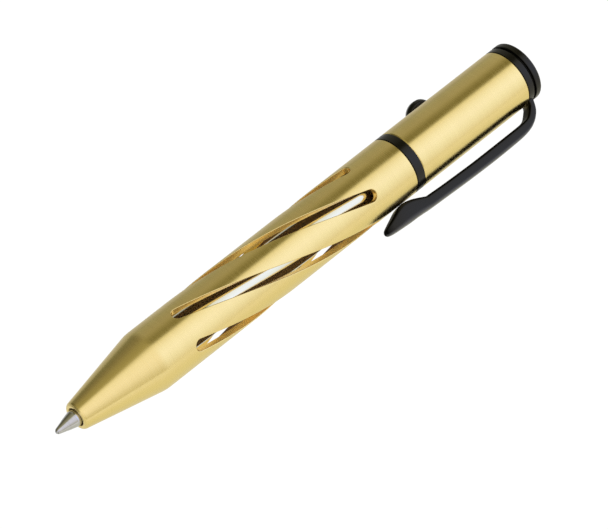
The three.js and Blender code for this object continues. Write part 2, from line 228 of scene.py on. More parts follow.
def profile_of(points, closed, default=0.05, steps=4):
    """A turned outline with its corners rounded. Each point is (x, radius[, corner radius]);
    steps is the count of pieces in a right-angled corner.
    Returns rows of (x, radius, incoming normal, outgoing normal)."""
    corners = [np.array(p[:2], float) for p in points]
    count = len(corners)
    area = 0.0
    for i in range(count):
        here, after = corners[i], corners[(i + 1) % count]
        area += here[0] * after[1] - after[0] * here[1]
    side = 1.0 if area > 0 else -1.0

    def normal(d):
        d = d / max(np.linalg.norm(d), 1e-12)
        return np.array([d[1], -d[0]]) * side

    def rotated(v, angle):
        cos, sin = math.cos(angle), math.sin(angle)
        return np.array([cos * v[0] - sin * v[1], sin * v[0] + cos * v[1]])

    rows = []
    for i, corner in enumerate(corners):
        if not closed and i in (0, count - 1):
            step = corners[1] - corners[0] if i == 0 else corners[-1] - corners[-2]
            rows.append((corner, normal(step), normal(step)))
            continue
        arrive = corner - corners[i - 1]
        leave = corners[(i + 1) % count] - corner
        len_in, len_out = np.linalg.norm(arrive), np.linalg.norm(leave)
        arrive, leave = arrive / len_in, leave / len_out
        turn = math.pi - math.acos(float(np.clip(-(arrive @ leave), -1, 1)))
        radius = points[i][2] if len(points[i]) > 2 else default
        n_in, n_out = normal(arrive), normal(leave)
        if turn < 0.02 or radius <= 0:
            rows.append((corner, n_in, n_out))
            continue
        # a corner takes at most 45% of the edges beside it
        cut = min(radius * math.tan(turn / 2), 0.45 * len_in, 0.45 * len_out)
        radius = cut / math.tan(turn / 2)
        start = corner - arrive * cut
        sense = 1 if arrive[0] * leave[1] - arrive[1] * leave[0] > 0 else -1
        centre = start + np.array([-arrive[1], arrive[0]]) * sense * radius
        pieces = max(2, int(math.ceil(steps * turn / (math.pi / 2))))
        for j in range(pieces + 1):
            angle = sense * turn * j / pieces
            bent = rotated(n_in, angle)
            rows.append((centre + rotated(start - centre, angle), bent, bent))
    return [(float(q[0]), float(q[1]), a, b) for q, a, b in rows]


def arc_rows(x, radius, arc_r, angles):
    """Profile rows on a circle of radius arc_r about (x, radius)."""
    rows = []
    for angle in angles:
        normal = np.array([math.cos(angle), math.sin(angle)])
        rows.append((x + arc_r * normal[0], max(0.0, radius + arc_r * normal[1]), normal, normal))
    return rows


def turned(name, points, material, segments, closed=True, default=0.05, steps=4):
    patch = Patchwork()
    patch.lathe(profile_of(points, closed, default, steps), circle_angles(segments), closed)
    return patch.build(name, [material])


def smooth_by_angle(mesh, degrees):
    mesh.polygons.foreach_set("use_smooth", [True] * len(mesh.polygons))
    mesh.set_sharp_from_angle(angle=degrees * DEG)
    mesh.update()


def corner_normals(mesh):
    normals = np.zeros(len(mesh.loops) * 3)
    mesh.corner_normals.foreach_get("vector", normals)
    return normals.reshape(-1, 3)


def stand_at_stem(obj):
    """Stands a piece turned round X on end: its X becomes the bolt stem's outward direction."""
    cos, sin = math.cos(STEM_DIR * DEG), math.sin(STEM_DIR * DEG)
    matrix = Matrix(
        (
            (0.0, -1.0, 0.0, STEM_X * MM),
            (cos, 0.0, -sin, 0.0),
            (sin, 0.0, cos, 0.0),
            (0.0, 0.0, 0.0, 1.0),
        )
    )
    mesh = obj.data
    normals = corner_normals(mesh) @ np.array(matrix.to_3x3()).T
    mesh.transform(matrix)
    mesh.update()
    mesh.normals_split_custom_set(normals.tolist())


def boolean(obj, tool, operation, materials):
    """Cuts the tool from obj or joins it on, removes the tool and gives obj the materials."""
    mod = obj.modifiers.new("b", "BOOLEAN")
    mod.operation = operation
    mod.solver = "MANIFOLD"
    mod.object = tool
    bpy.context.view_layer.update()
    graph = bpy.context.evaluated_depsgraph_get()
    made = bpy.data.meshes.new_from_object(
        obj.evaluated_get(graph), preserve_all_data_layers=False, depsgraph=graph
    )
    obj.modifiers.clear()
    old = obj.data
    obj.data = made
    made.name = obj.name
    bpy.data.meshes.remove(old)
    bpy.data.objects.remove(tool)
    made.materials.clear()
    for material in materials:
        made.materials.append(material)


def renormal(obj, degrees, shells):
    """Corner normals by angle, then exact ones on the cylinders in shells:
    (radius, +1 facing outward or -1 facing inward)."""
    mesh = obj.data
    smooth_by_angle(mesh, degrees)
    normals = corner_normals(mesh)
    coords = np.zeros(len(mesh.vertices) * 3)
    mesh.vertices.foreach_get("co", coords)
    coords = coords.reshape(-1, 3) * 1000
    vertex_of = np.zeros(len(mesh.loops), int)
    mesh.loops.foreach_get("vertex_index", vertex_of)
    face_normals = np.zeros(len(mesh.polygons) * 3)
    mesh.polygons.foreach_get("normal", face_normals)
    totals = np.zeros(len(mesh.polygons), int)
    mesh.polygons.foreach_get("loop_total", totals)
    face_normals = np.repeat(face_normals.reshape(-1, 3), totals, axis=0)
    radial = coords[vertex_of]
    radial[:, 0] = 0
    distance = np.hypot(radial[:, 1], radial[:, 2])
    radial /= np.maximum(distance[:, None], 1e-9)
    for radius, sign in shells:
        near = np.abs(distance - radius) < 0.012
        on = near & ((face_normals * radial).sum(1) * sign > 0.97)
        normals[on] = radial[on] * sign
    mesh.normals_split_custom_set(normals.tolist())


def finish(obj, body, slot, *nodes):
    if body is not None:
        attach(obj, body)
    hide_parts(*nodes)


def turned_piece(node, body, slot, material, segments, points, **options):
    obj = turned(f"{node}_visual", points, material, segments, **options)
    finish(obj, body, slot, node)


# ------------------------------------------------------------------ shader helpers
class Shader:
    """Adds nodes to the tree of a material or world."""

    def __init__(self, owner):
        owner.use_nodes = True
        self.tree = owner.node_tree

    def feed(self, node, inputs):
        """Sets a node's inputs, by name or index, to values or links them to sockets."""
        for key, source in inputs.items():
            if isinstance(source, bpy.types.NodeSocket):
                self.tree.links.new(source, node.inputs[key])
            else:
                node.inputs[key].default_value = source

    def new(self, kind, inputs=None, **settings):
        node = self.tree.nodes.new(kind)
        for key, value in settings.items():
            setattr(node, key, value)
        self.feed(node, inputs or {})
        return node

    def noise(self, coord, scale, detail=3.0, rough=0.55):
        """Noise at a scale per axis (per metre); a high X scale gives lines round the pen."""
        mapping = self.new("ShaderNodeMapping", {"Scale": scale, "Vector": coord})
        texture = self.new(
            "ShaderNodeTexNoise",
            {
                "Scale": 1.0,
                "Detail": detail,
                "Roughness": rough,
                "Vector": mapping.outputs["Vector"],
            },
        )
        return texture.outputs["Fac"]

    def math(self, operation, first, second, clamp=False):
        inputs = {0: first, 1: second}
        return self.new("ShaderNodeMath", inputs, operation=operation, use_clamp=clamp).outputs[0]

    def blend(self, first, first_share, second, second_share):
        """The two values added in the given shares."""
        return self.math(
            "ADD",
            self.math("MULTIPLY", first, first_share),
            self.math("MULTIPLY", second, second_share),
        )

    def dot(self, vector, direction):
        inputs = {1: direction, 0: vector}
        return self.new("ShaderNodeVectorMath", inputs, operation="DOT_PRODUCT").outputs["Value"]

    def remap(self, value, to, between=(0.3, 0.7)):
        """Maps the range between onto to. The default is where most noise values lie."""
        inputs = {
            "From Min": between[0],
            "From Max": between[1],
            "To Min": to[0],
            "To Max": to[1],
            "Value": value,
        }
        return self.new("ShaderNodeMapRange", inputs).outputs["Result"]

    def mix(self, factor, first, second):
        """A colour between first and second, each a socket or a linear RGB triple."""
        inputs = {0: factor}
        for key, colour in ((6, first), (7, second)):
            inputs[key] = (*colour, 1.0) if isinstance(colour, tuple) else colour
        return self.new("ShaderNodeMix", inputs, data_type="RGBA").outputs[2]

    def bump(self, height, strength, distance):
        inputs = {"Strength": strength, "Distance": distance, "Height": height}
        return self.new("ShaderNodeBump", inputs).outputs["Normal"]


def start_material(name):
    mat = bpy.data.materials.new(name)
    shader = Shader(mat)
    return mat, shader, shader.tree.nodes["Principled BSDF"]


# ------------------------------------------------------------------ materials
def turned_metal(
    name,
    light,
    dark,
    rough,
    aniso=0.0,
    fine=9000,
    coarse=1500,
    bump=0.25,
    streak=0.5,
    smudge=0.06,
    vary=0.055,
    metallic=1.0,
):
    """Metal turned on a lathe: lines round the axis in colour, roughness and height, and a
    faint smudge. fine and coarse are line counts per metre, streak the finer lines' share of
    the colour, vary and smudge the spread they give the roughness."""
    mat, shader, bsdf = start_material(name)
    coord = shader.new("ShaderNodeTexCoord").outputs["Object"]
    fine_lines = shader.noise(coord, scale=(fine, 55, 55), detail=2.0)
    mid_lines = shader.noise(coord, scale=(coarse * 2.2, 40, 40), detail=3.0, rough=0.6)
    broad_lines = shader.noise(coord, scale=(coarse * 0.35, 25, 25), detail=2.0)
    cloud = shader.noise(coord, scale=(170, 220, 220), detail=4.0, rough=0.6)
    lines = shader.blend(fine_lines, 0.45, mid_lines, 0.55)
    tone = shader.blend(lines, streak, broad_lines, 1 - streak)
    tone = shader.remap(tone, between=(0.32, 0.68), to=(0.0, 1.0))
    line_rough = shader.remap(lines, to=(rough - vary, rough + vary))
    smudge_rough = shader.remap(cloud, between=(0.35, 0.75), to=(-smudge * 0.5, smudge))
    shader.feed(
        bsdf,
        {
            "Base Color": shader.mix(tone, dark, light),
            "Metallic": metallic,
            "Roughness": shader.math("ADD", line_rough, smudge_rough, clamp=True),
            "Normal": shader.bump(lines, strength=bump, distance=0.000004),
        },
    )
    if aniso > 0:
        tangent = shader.new("ShaderNodeTangent", direction_type="RADIAL", axis="X")
        shader.feed(
            bsdf,
            {
                "Anisotropic": aniso,
                "Tangent": tangent.outputs["Tangent"],
                "Anisotropic Rotation": 0.25,
            },
        )
    return mat


def clip_sheen_and_shade(shader, bsdf, coords, cloud, colour, rough, ior):
    """Paints a highlight on the clip's outward faces by lightening their colour, and paints shade
    on its inward and tipward faces by making them matt.
    Returns the changed colour and roughness."""
    height = shader.dot(coords.outputs["Object"], CLIP_OUT)
    on_arm = shader.remap(height, between=(0.0051, 0.0056), to=(0.0, 1.0))  # clear of the ring
    facing = shader.dot(coords.outputs["Normal"], CLIP_OUT)
    # painted highlight: faces turned away from the pen are lightened
    outward_sheen = shader.remap(facing, between=(0.06, 0.65), to=(0.0, 1.0))
    outward_sheen = shader.math("MULTIPLY", outward_sheen, on_arm, clamp=True)
    outward_sheen = shader.math("MULTIPLY", outward_sheen, shader.remap(cloud, to=(0.8, 1.0)))
    colour = shader.mix(outward_sheen, colour, (0.072, 0.072, 0.076))

    # painted shade: faces turned towards the pen or towards the tip lose most of their reflection
    normal = shader.new("ShaderNodeSeparateXYZ", {0: coords.outputs["Normal"]})
    inward = shader.remap(facing, between=(-0.10, -0.55), to=(0.0, 1.0))
    tipward = shader.remap(normal.outputs["X"], between=(-0.25, -0.7), to=(0.0, 1.0))
    matt = shader.math("MAXIMUM", inward, tipward)
    matt = shader.math("MULTIPLY", matt, on_arm, clamp=True)
    shader.feed(bsdf, {"IOR": shader.remap(matt, between=(0.0, 1.0), to=(ior, 1.10))})
    return colour, shader.math("ADD", rough, shader.math("MULTIPLY", matt, 0.15))


def coated_black(name, is_clip=False):
    """Hard black coating on metal: fine orange-peel grain, uneven sheen, and convex edges
    lightened, partly as rubbed wear and partly as a painted highlight on the bevels.
    """
    base, mean_rough, ior = 0.0009, 0.25, 1.46  # brightness, roughness, refraction
    mat, shader, bsdf = start_material(name)
    coords = shader.new("ShaderNodeTexCoord")
    coord = coords.outputs["Object"]
    grain = shader.noise(coord, scale=(9000, 9000, 9000), detail=2.0)
    cloud = shader.noise(coord, scale=(420, 420, 420), detail=4.0, rough=0.6)
    pointiness = shader.new("ShaderNodeNewGeometry").outputs["Pointiness"]
    # convex edges are lightened: partly rubbed wear, partly a painted highlight for the light the
    # bevels catch
    edge = shader.remap(pointiness, between=(0.53, 0.62), to=(0.0, 1.0))
    patchy = shader.remap(cloud, between=(0.4, 0.65), to=(0.0, 0.4))
    edge_wear_and_sheen = shader.math("MULTIPLY", edge, patchy, clamp=True)
    tone = shader.mix(
        shader.remap(cloud, to=(0.0, 1.0)),
        (base * 0.8, base * 0.82, base * 0.9),
        (base * 1.2, base * 1.22, base * 1.35),
    )
    colour = shader.mix(edge_wear_and_sheen, tone, (0.020, 0.0205, 0.022))
    rough = shader.math(
        "ADD",
        shader.remap(cloud, to=(mean_rough - 0.04, mean_rough + 0.05)),
        shader.remap(grain, to=(-0.03, 0.03)),
    )
    shader.feed(
        bsdf,
        {
            "Metallic": 0.0,
            "IOR": ior,
            "Specular IOR Level": 0.42,
            "Specular Tint": (1.0, 0.97, 0.88, 1),
        },
    )
    if is_clip:
        # the clip also gets a painted highlight outside and painted shade inside
        colour, rough = clip_sheen_and_shade(shader, bsdf, coords, cloud, colour, rough, ior)
    shader.feed(
        bsdf,
        {
            "Base Color": colour,
            "Roughness": rough,
            "Normal": shader.bump(grain, strength=0.3, distance=0.000004),
        },
    )
    return mat


def plain_grain(name, colour, rough, metallic=0.0, bump=0.3):
    """An even grainy surface, clouded a little darker in places."""
    mat, shader, bsdf = start_material(name)
    coord = shader.new("ShaderNodeTexCoord").outputs["Object"]
    grain = shader.noise(coord, scale=(6000, 6000, 6000))
    cloud = shader.noise(coord, scale=(500, 500, 500))
    dark = tuple(c * 0.82 for c in colour)
    shader.feed(
        bsdf,
        {
            "Base Color": shader.mix(shader.remap(cloud, to=(0, 1)), dark, colour),
            "Metallic": metallic,
            "Roughness": shader.remap(grain, to=(rough - 0.06, rough + 0.06)),
            "Normal": shader.bump(grain, strength=bump, distance=0.000008),
        },
    )
    return mat


BRASS = turned_metal(
    "brass_turned", light=(0.905, 0.735, 0.325), dark=(0.872, 0.700, 0.297), rough=0.26,
    aniso=0.85, bump=0.08, streak=0.6, smudge=0.03, vary=0.065,
)
# painted light: the slot walls' brass is coloured brighter and more orange than the outside for the
# light they catch; their finer milled lines and roughness are their finish
LIT_SLOT_WALL = turned_metal(
    "brass_milled_painted_light", light=(1.0, 0.69, 0.19), dark=(0.96, 0.64, 0.155), rough=0.22,
    fine=5000, coarse=2500, bump=0.03, vary=0.03, metallic=0.72,
)
# painted shade: the bore's brass is coloured dark brown for the shade inside the barrel
SHADED_BORE = plain_grain("brass_bore_painted_shade", colour=(0.44, 0.28, 0.16), rough=0.45, metallic=0.5, bump=0.1)
BLACK = coated_black("black_coating")
CLIP_BLACK = coated_black("clip_coating_sheen_and_shade", is_clip=True)
STEEL = turned_metal(
    "machined_steel", light=(0.62, 0.62, 0.63), dark=(0.50, 0.50, 0.52), rough=0.26, aniso=0.4
)
TIP = turned_metal(
    "tip_steel", light=(0.64, 0.64, 0.665), dark=(0.50, 0.50, 0.53), rough=0.13,
    aniso=0.3, fine=14000, coarse=4000, vary=0.04,
)
NICKEL = turned_metal(
    "refill_plating", light=(0.80, 0.775, 0.600), dark=(0.755, 0.73, 0.562), rough=0.09,
    fine=2500, coarse=600, bump=0.05, smudge=0.04,
)
REFILL_BRASS = turned_metal(
    "refill_brass", light=(0.82, 0.66, 0.36), dark=(0.72, 0.56, 0.28), rough=0.24, aniso=0.3
)
CARBIDE = turned_metal(
    "ball_carbide", light=(0.50, 0.51, 0.54), dark=(0.42, 0.43, 0.46), rough=0.10, bump=0.05
)
RUBBER = plain_grain("black_rubber", colour=(0.02, 0.02, 0.021), rough=0.62)
PLASTIC = plain_grain("plug_plastic", colour=(0.05, 0.05, 0.055), rough=0.5)
SPRING = turned_metal(
    "spring_steel", light=(0.60, 0.61, 0.63), dark=(0.48, 0.49, 0.52), rough=0.24,
    fine=3000, coarse=3000,
)

# both barrels carry the same three materials, at these indices: the outer brass, the slot walls'
# brass painted lighter and more orange for light, and the bore's brass painted dark for shade
BARREL_MATERIALS = [BRASS, LIT_SLOT_WALL, SHADED_BORE]
OUTSIDE, CUT, INSIDE = 0, 1, 2


# ------------------------------------------------------------------ front barrel
SIDE_STEPS, END_STEPS = 110, 56  # along a slot's side, and round each of its ends
QUARTER = END_STEPS // 4
# where the skin round the slots meets the plain ends, outside and in the bore
OUTER_LIMITS = (SLOT_X0 - 3.1, SLOT_X1 + 3.1)
BORE_LIMITS = (SLOT_X0 - 1.7, SLOT_X1 + 1.55)


def slot_dir(x):
    """Direction of the first slot's centre line at station x, in radians."""
    return (SLOT_PHASE + SLOT_TWIST * (x - SLOT_X0)) * DEG


def slot_outline():
    """Round a slot: the station on its centre line, and the unit offset from there as its
    parts along X and round the barrel."""
    points = []  # station, offset along the slot, offset across it
    for start, stop, side in ((SLOT_X0, SLOT_X1, 1.0), (SLOT_X1, SLOT_X0, -1.0)):
        for k in range(SIDE_STEPS):
            points.append((start + (stop - start) * k / SIDE_STEPS, 0.0, side))
        for k in range(END_STEPS):
            angle = side * math.pi / 2 - math.pi * k / END_STEPS
            points.append((stop, math.cos(angle), math.sin(angle)))
    station, along, across = np.array(points).T
    helix = math.atan(BODY_R * SLOT_TWIST * DEG)
    sin, cos = math.sin(helix), math.cos(helix)
    return station, along * cos - across * sin, along * sin + across * cos


def slot_border(x_lo, x_hi):
    """The sheared rectangle round a slot, point for point with its outline: stations, and
    angles from the slot's centre line."""
    stations, angles = [], []
    for start, stop, limit, side in (
        (SLOT_X0, SLOT_X1, x_hi, SECTOR / 2),
        (SLOT_X1, SLOT_X0, x_lo, -SECTOR / 2),
    ):
        for k in range(SIDE_STEPS):
            stations.append(start + (stop - start) * k / SIDE_STEPS)
            angles.append(side)
        for k in range(END_STEPS):
            if k < QUARTER:
                stations.append(stop + (limit - stop) * k / QUARTER)
                angles.append(side)
            elif k <= 3 * QUARTER:
                stations.append(limit)
                angles.append(side * (1 - 2 * (k - QUARTER) / (2 * QUARTER)))
            else:
                stations.append(limit + (stop - limit) * (k - 3 * QUARTER) / QUARTER)
                angles.append(-side)
    return np.array(stations), np.array(angles)


def slotted_sector(patch, sector):
    station, off_x, off_round = slot_outline()
    shift = sector * SECTOR
    half_width = SLOT_W / 2

    def ring(half, radius):
        """Stations and angles of the outline at a half width, on a cylinder."""
        angle = slot_dir(station) + np.arcsin(half * off_round / radius) + shift
        return station + half * off_x, angle

    def skin(limits, half, radius, sign, shares, mat):
        """The cylinder between the border and the slot."""
        border_x, border_angle = slot_border(*limits)
        ring_x, ring_angle = ring(half, radius)
        ring_angle = ring_angle - slot_dir(ring_x) - shift
        rows, normals = [], []
        for share in shares:
            x = border_x + (ring_x - border_x) * share
            angle = border_angle + (ring_angle - border_angle) * share
            angle = angle + slot_dir(x) + shift
            rows.append(around(x, radius, angle))
            normals.append(around(0.0, sign, angle))
        patch.grid(rows, normals, mat=mat)

    shares = [(k / 6) ** 0.8 for k in range(7)]
    skin(OUTER_LIMITS, half_width + SLOT_EDGE_R, BODY_R, 1.0, shares, OUTSIDE)

    centre_dir = slot_dir(station) + shift
    wall = np.stack([-off_x, np.sin(centre_dir) * off_round, -np.cos(centre_dir) * off_round], 1)
    rows, normals = [], []
    for k in range(5):  # rounded edge
        bend = math.pi / 2 * k / 4
        radius = BODY_R - SLOT_EDGE_R * (1 - math.cos(bend))
        x, angle = ring(half_width + SLOT_EDGE_R * (1 - math.sin(bend)), radius)
        rows.append(around(x, radius, angle))
        normals.append(around(0.0, 1.0, angle) * math.cos(bend) + wall * math.sin(bend))
    patch.grid(rows, normals, mat=OUTSIDE)

    rows = [rows[-1]]
    for radius in (4.6, 4.3, BORE_R):  # straight wall down to the bore
        x, angle = ring(half_width, radius)
        rows.append(around(x, radius, angle))
    patch.grid(rows, [wall] * len(rows), mat=CUT)

    skin(BORE_LIMITS, half_width, BORE_R, -1.0, [k / 4 for k in range(5)], INSIDE)


def plain_end(patch, rows, split, first_mat, last_mat):
    """A plain turned end on the meridians of the slotted part; the material changes at row
    split, and the rows twist evenly along the outline to meet the slots' twist."""
    half_count = 2 * QUARTER
    spread = SECTOR / 2 * (-1 + 2 * np.arange(half_count) / half_count)
    angles = np.concatenate([spread + s * SECTOR for s in range(SLOTS)])
    length = [0.0]
    for here, after in zip(rows, rows[1:]):
        length.append(length[-1] + math.hypot(here[0] - after[0], here[1] - after[1]))
    share = np.array(length) / length[-1]
    first, last = slot_dir(rows[0][0]), slot_dir(rows[-1][0])
    twist = first + (last - first) * share
    patch.lathe(rows[: split + 1], angles, False, first_mat, twist[: split + 1])
    patch.lathe(rows[split:], angles, False, last_mat, twist[split:])


def front_barrel():
    patch = Patchwork()
    for sector in range(SLOTS):
        slotted_sector(patch, sector)
    # x, radius, corner radius: from the slots round the tip end and back up the bore
    nose = profile_of(
        [
            (OUTER_LIMITS[0], BODY_R, 0),
            (CONE_START, BODY_R, 6.0),
            (-93.98, 2.29, 0.35),
            (-94.22, 2.17, 0.25),
            (NOSE_END, 1.92, 0.14),
            (NOSE_END, 1.58, 0.12),
            (-94.2, NOSE_BORE_R, 0.05),
            (-88.95, NOSE_BORE_R, 0.05),
            (-88.8, 1.7, 0),
            (-88.8, 2.75, 0),
            (-84.2, 2.75, 0),
            (-81.6, BORE_R, 0),
            (BORE_LIMITS[0], BORE_R, 0),
        ],
        closed=False,
        steps=5,
    )
    # from the bore round the rear end and back along the outside
    tail = profile_of(
        [
            (BORE_LIMITS[1], BORE_R, 0),
            (-28.0, BORE_R, 0),
            (FRONT_BARREL_REAR, 4.15, 0.03),
            (FRONT_BARREL_REAR, BODY_R - EDGE, 0.03),
            (FRONT_BARREL_REAR - EDGE, BODY_R, 0.03),
            (OUTER_LIMITS[1], BODY_R, 0),
        ],
        closed=False,
    )
    split = next(k for k, row in enumerate(nose) if abs(row[1] - NOSE_BORE_R) < 1e-6)
    plain_end(patch, nose, split, OUTSIDE, INSIDE)
    split = next(k for k, row in enumerate(tail) if row[0] > FRONT_BARREL_REAR - 0.1)
    plain_end(patch, tail, split, INSIDE, OUTSIDE)
    obj = patch.build("front_barrel_visual", BARREL_MATERIALS)
    finish(obj, "front", "turned_brass", "front_barrel")


# ------------------------------------------------------------------ rear barrel and bolt track
def track_outline(radius, grow):
    """The track on a cylinder as (x, degrees): a leg along X at the stem's direction, and at
    each end an arm turned back round the barrel. grow widens it on every side."""
    x0, x1 = STEM_X, STEM_X + TRACK_TRAVEL
    leg, arm_end = STEM_DIR, STEM_DIR - TRACK_TURN
    half = TRACK_HALF + grow

    def bulge(angle):
        return math.degrees(math.asin(half * math.sin(angle) / radius))

    lean = math.degrees(math.asin(half / radius))
    fillet = max(0.05, 0.3 - grow)  # at the inner corners
    fillet_turn = fillet * math.degrees(1 / radius)
    corner = leg - lean - fillet_turn
    half_pi = math.pi / 2
    points = []
    # outer side: front arm, corner, leg, corner, rear arm
    for k in range(9):
        points.append((x0 - half, arm_end + (leg - arm_end) * k / 9))
    for k in range(12):
        angle = half_pi * k / 12
        points.append((x0 - half * math.cos(angle), leg + bulge(angle)))
    for k in range(14):
        points.append((x0 + (x1 - x0) * k / 14, leg + lean))
    for k in range(12):
        angle = half_pi * (1 - k / 12)
        points.append((x1 + half * math.cos(angle), leg + bulge(angle)))
    for k in range(9):
        points.append((x1 + half, leg + (arm_end - leg) * k / 9))
    # round end of the rear arm
    for k in range(20):
        angle = math.pi * k / 20
        points.append((x1 + half * math.cos(angle), arm_end - bulge(angle)))
    # inner side: rear arm, two filleted corners, front arm
    for k in range(7):
        points.append((x1 - half, arm_end + (corner - arm_end) * k / 7))
    for k in range(7):
        angle = half_pi * k / 6
        x = x1 - half - fillet + fillet * math.cos(angle)
        points.append((x, corner + fillet_turn * math.sin(angle)))
    for k in range(7):
        angle = half_pi * (1 - k / 6)
        x = x0 + half + fillet - fillet * math.cos(angle)
        points.append((x, corner + fillet_turn * math.sin(angle)))
    for k in range(1, 7):
        points.append((x0 + half, corner + (arm_end - corner) * k / 7))
    # round end of the front arm
    for k in range(20):
        angle = math.pi * k / 20
        points.append((x0 + half * math.cos(angle), arm_end - bulge(angle)))
    return points


def track_cutter():
    # radius of the layer, growth of the outline: the last layer flares into a chamfer
    levels = [(2.9, 0.0), (3.9, 0.0), (4.87, 0.0), (5.6, 0.73)]
    outlines = [track_outline(radius, grow) for radius, grow in levels]
    verts = []
    for (radius, _), outline in zip(levels, outlines):
        for x, angle in outline:
            verts.append((x, radius * math.cos(angle * DEG), radius * math.sin(angle * DEG)))
    count = len(outlines[0])
    faces = tube_faces(len(levels), count)
    for level, flip in ((0, True), (len(levels) - 1, False)):
        radius = levels[level][0]
        flat = [Vector((x, angle * DEG * radius, 0)) for x, angle in outlines[level]]
        for triangle in tessellate_polygon([flat]):
            ids = [level * count + i for i in triangle]
            faces.append(tuple(reversed(ids)) if flip else tuple(ids))
    return add_object("cutter", solid_mesh("cutter", verts, faces))


def rear_barrel():
    rear, front = REAR_BARREL_REAR, REAR_BARREL_FRONT
    # extra stations along the barrel and the guide keep the faces near the track short
    skin = [(rear - EDGE - k * (rear - front - 2 * EDGE) / 60, BODY_R, 0) for k in range(61)]
    guide = [(-20.0 + k * 0.75, GUIDE_R, 0) for k in range(16)]
    outline = [
        (rear, 4.12, 0.03),
        (rear, BODY_R - EDGE, 0.03),
        *skin,
        (front, BODY_R - EDGE, 0.03),
        (front, 4.12, 0.03),
        (front + 0.14, BORE_R, 0),
        (-20.9, BORE_R, 0),
        (-20.7, GUIDE_R, 0),
        *guide,
        (-7.3, GUIDE_R, 0),
        (-7.1, BORE_R, 0),
        (rear - 0.14, BORE_R, 0),
    ]
    obj = turned("rear_barrel_visual", outline, BRASS, 180)
    boolean(obj, track_cutter(), "DIFFERENCE", BARREL_MATERIALS)
    renormal(obj, 32, [(BODY_R, 1), (BORE_R, -1), (GUIDE_R, -1)])
    index = []
    for poly in obj.data.polygons:
        distance = math.hypot(poly.center.y, poly.center.z) * 1000
        facing = poly.normal.dot(Vector((0, poly.center.y, poly.center.z)).normalized())
        index.append(OUTSIDE if distance > 4.9 else INSIDE if facing < -0.9 else CUT)
    obj.data.polygons.foreach_set("material_index", index)
    finish(obj, "housing", "turned_brass", "rear_barrel")


# ------------------------------------------------------------------ clip
# Sections of the arm from the ring to its free end: x and height of the outer face, x and
# height of the inner face, half width, exponent of the section (higher is squarer).
# Heights are distances from the pen's axis.
CLIP_STATIONS = [
    (-1.98, 4.6, -2.9, 4.6, 1.5, 9),
    (-2.08, 5.05, -3, 5.05, 1.5, 8),
    (-2.23, 5.55, -3.27, 5.42, 1.5, 6),
    (-2.46, 6.1, -3.7, 5.78, 1.5, 5.5),
    (-2.8, 6.64, -4.12, 6.12, 1.5, 5.5),
    (-3.36, 7.2, -4.57, 6.44, 1.5, 5.5),
    (-4.13, 7.75, -5.07, 6.64, 1.5, 5.5),
    (-5.26, 8.26, -5.77, 6.73, 1.5, 5.5),
    (-6.7, 8.55, -6.7, 6.77, 1.5, 5.5),
    (-8.5, 8.65, -8.5, 6.78, 1.5, 5.5),
    (-13, 8.71, -13, 6.78, 1.5, 5.5),
    (-17, 8.66, -17, 6.76, 1.5, 5.5),
    (-20, 8.58, -20, 6.68, 1.5, 5.5),
    (-23.5, 8.46, -23.5, 6.57, 1.5, 5.5),
    (-25.7, 8.39, -25.7, 6.46, 1.5, 5.5),
    (-26.8, 8.35, -26.8, 6.4, 1.5, 5.5),
    (-27.3, 8.33, -27.25, 6.36, 1.5, 5.5),
    (-27.8, 8.29, -27.7, 6.16, 1.5, 5.5),
    (-28.8, 8.22, -28.6, 5.74, 1.5, 5.5),
    (-30, 8.15, -29.7, 5.3, 1.5, 5.5),
    (-31.2, 8.13, -31, 5.02, 1.49, 5.5),
    (-32.4, 8.06, -32.2, 5.18, 1.46, 5.5),
    (-33.4, 7.99, -33.3, 5.6, 1.38, 5.5),
    (-34.5, 7.91, -34.4, 6.02, 1.22, 5),
    (-35.3, 7.8, -35.25, 6.34, 0.98, 4.4),
    (-35.88, 7.65, -35.85, 6.58, 0.68, 3.6),
    (-36.18, 7.43, -36.15, 6.82, 0.38, 3),
]


def catmull(values, t):
    """A smooth curve through the rows of values, read at row number t."""
    last = len(values) - 1
    i = min(int(t), last - 1)
    f = t - i
    p0, p1, p2, p3 = values[max(i - 1, 0)], values[i], values[i + 1], values[min(i + 2, last)]
    return 0.5 * (
        (2 * p1)
        + (-p0 + p2) * f
        + (2 * p0 - 5 * p1 + 4 * p2 - p3) * f * f
        + (-p0 + 3 * p1 - 3 * p2 + p3) * f**3
    )


def clip_arm():
    stations = np.array(CLIP_STATIONS)
    count = 56
    cos, sin = np.cos(circle_angles(count)), np.sin(circle_angles(count))
    out = np.array(CLIP_OUT)
    side = np.array([0, -out[2], out[1]])
    rings = []
    for t in np.linspace(0, len(stations) - 1, 150):
        x_out, h_out, x_in, h_in, half_width, power = catmull(stations, t)
        thick = np.sign(cos) * np.abs(cos) ** (2 / power)
        wide = np.sign(sin) * np.abs(sin) ** (2 / power)
        crown = 1 - 0.06 * wide * wide * (thick > 0)  # the outer face bulges a little
        x = (x_out + x_in) / 2 + (x_out - x_in) / 2 * thick * crown
        height = (h_out + h_in) / 2 + (h_out - h_in) / 2 * thick * crown
        ring = np.outer(height, out) + np.outer(wide * half_width, side)
        ring[:, 0] += x
        rings.append(ring)
    # shrinking sections round off the free end
    last = rings[-1]
    centre = last.mean(0)
    step = np.array([-0.12, 0, 0]) + out * -0.012
    for k in range(1, 7):
        angle = math.pi / 2 * k / 7
        rings.append(centre + (last - centre) * math.cos(angle) + step * math.sin(angle))
    verts = [p for ring in rings for p in ring]
    faces = tube_faces(len(rings), count)
    root_centre, end_centre = len(verts), len(verts) + 1
    verts += [rings[0].mean(0), centre + step]
    end = (len(rings) - 1) * count
    for j in range(count):
        faces.append((root_centre, (j + 1) % count, j))
        faces.append((end_centre, end + j, end + (j + 1) % count))
    return add_object("clip_arm_tool", solid_mesh("clip_visual", verts, faces))


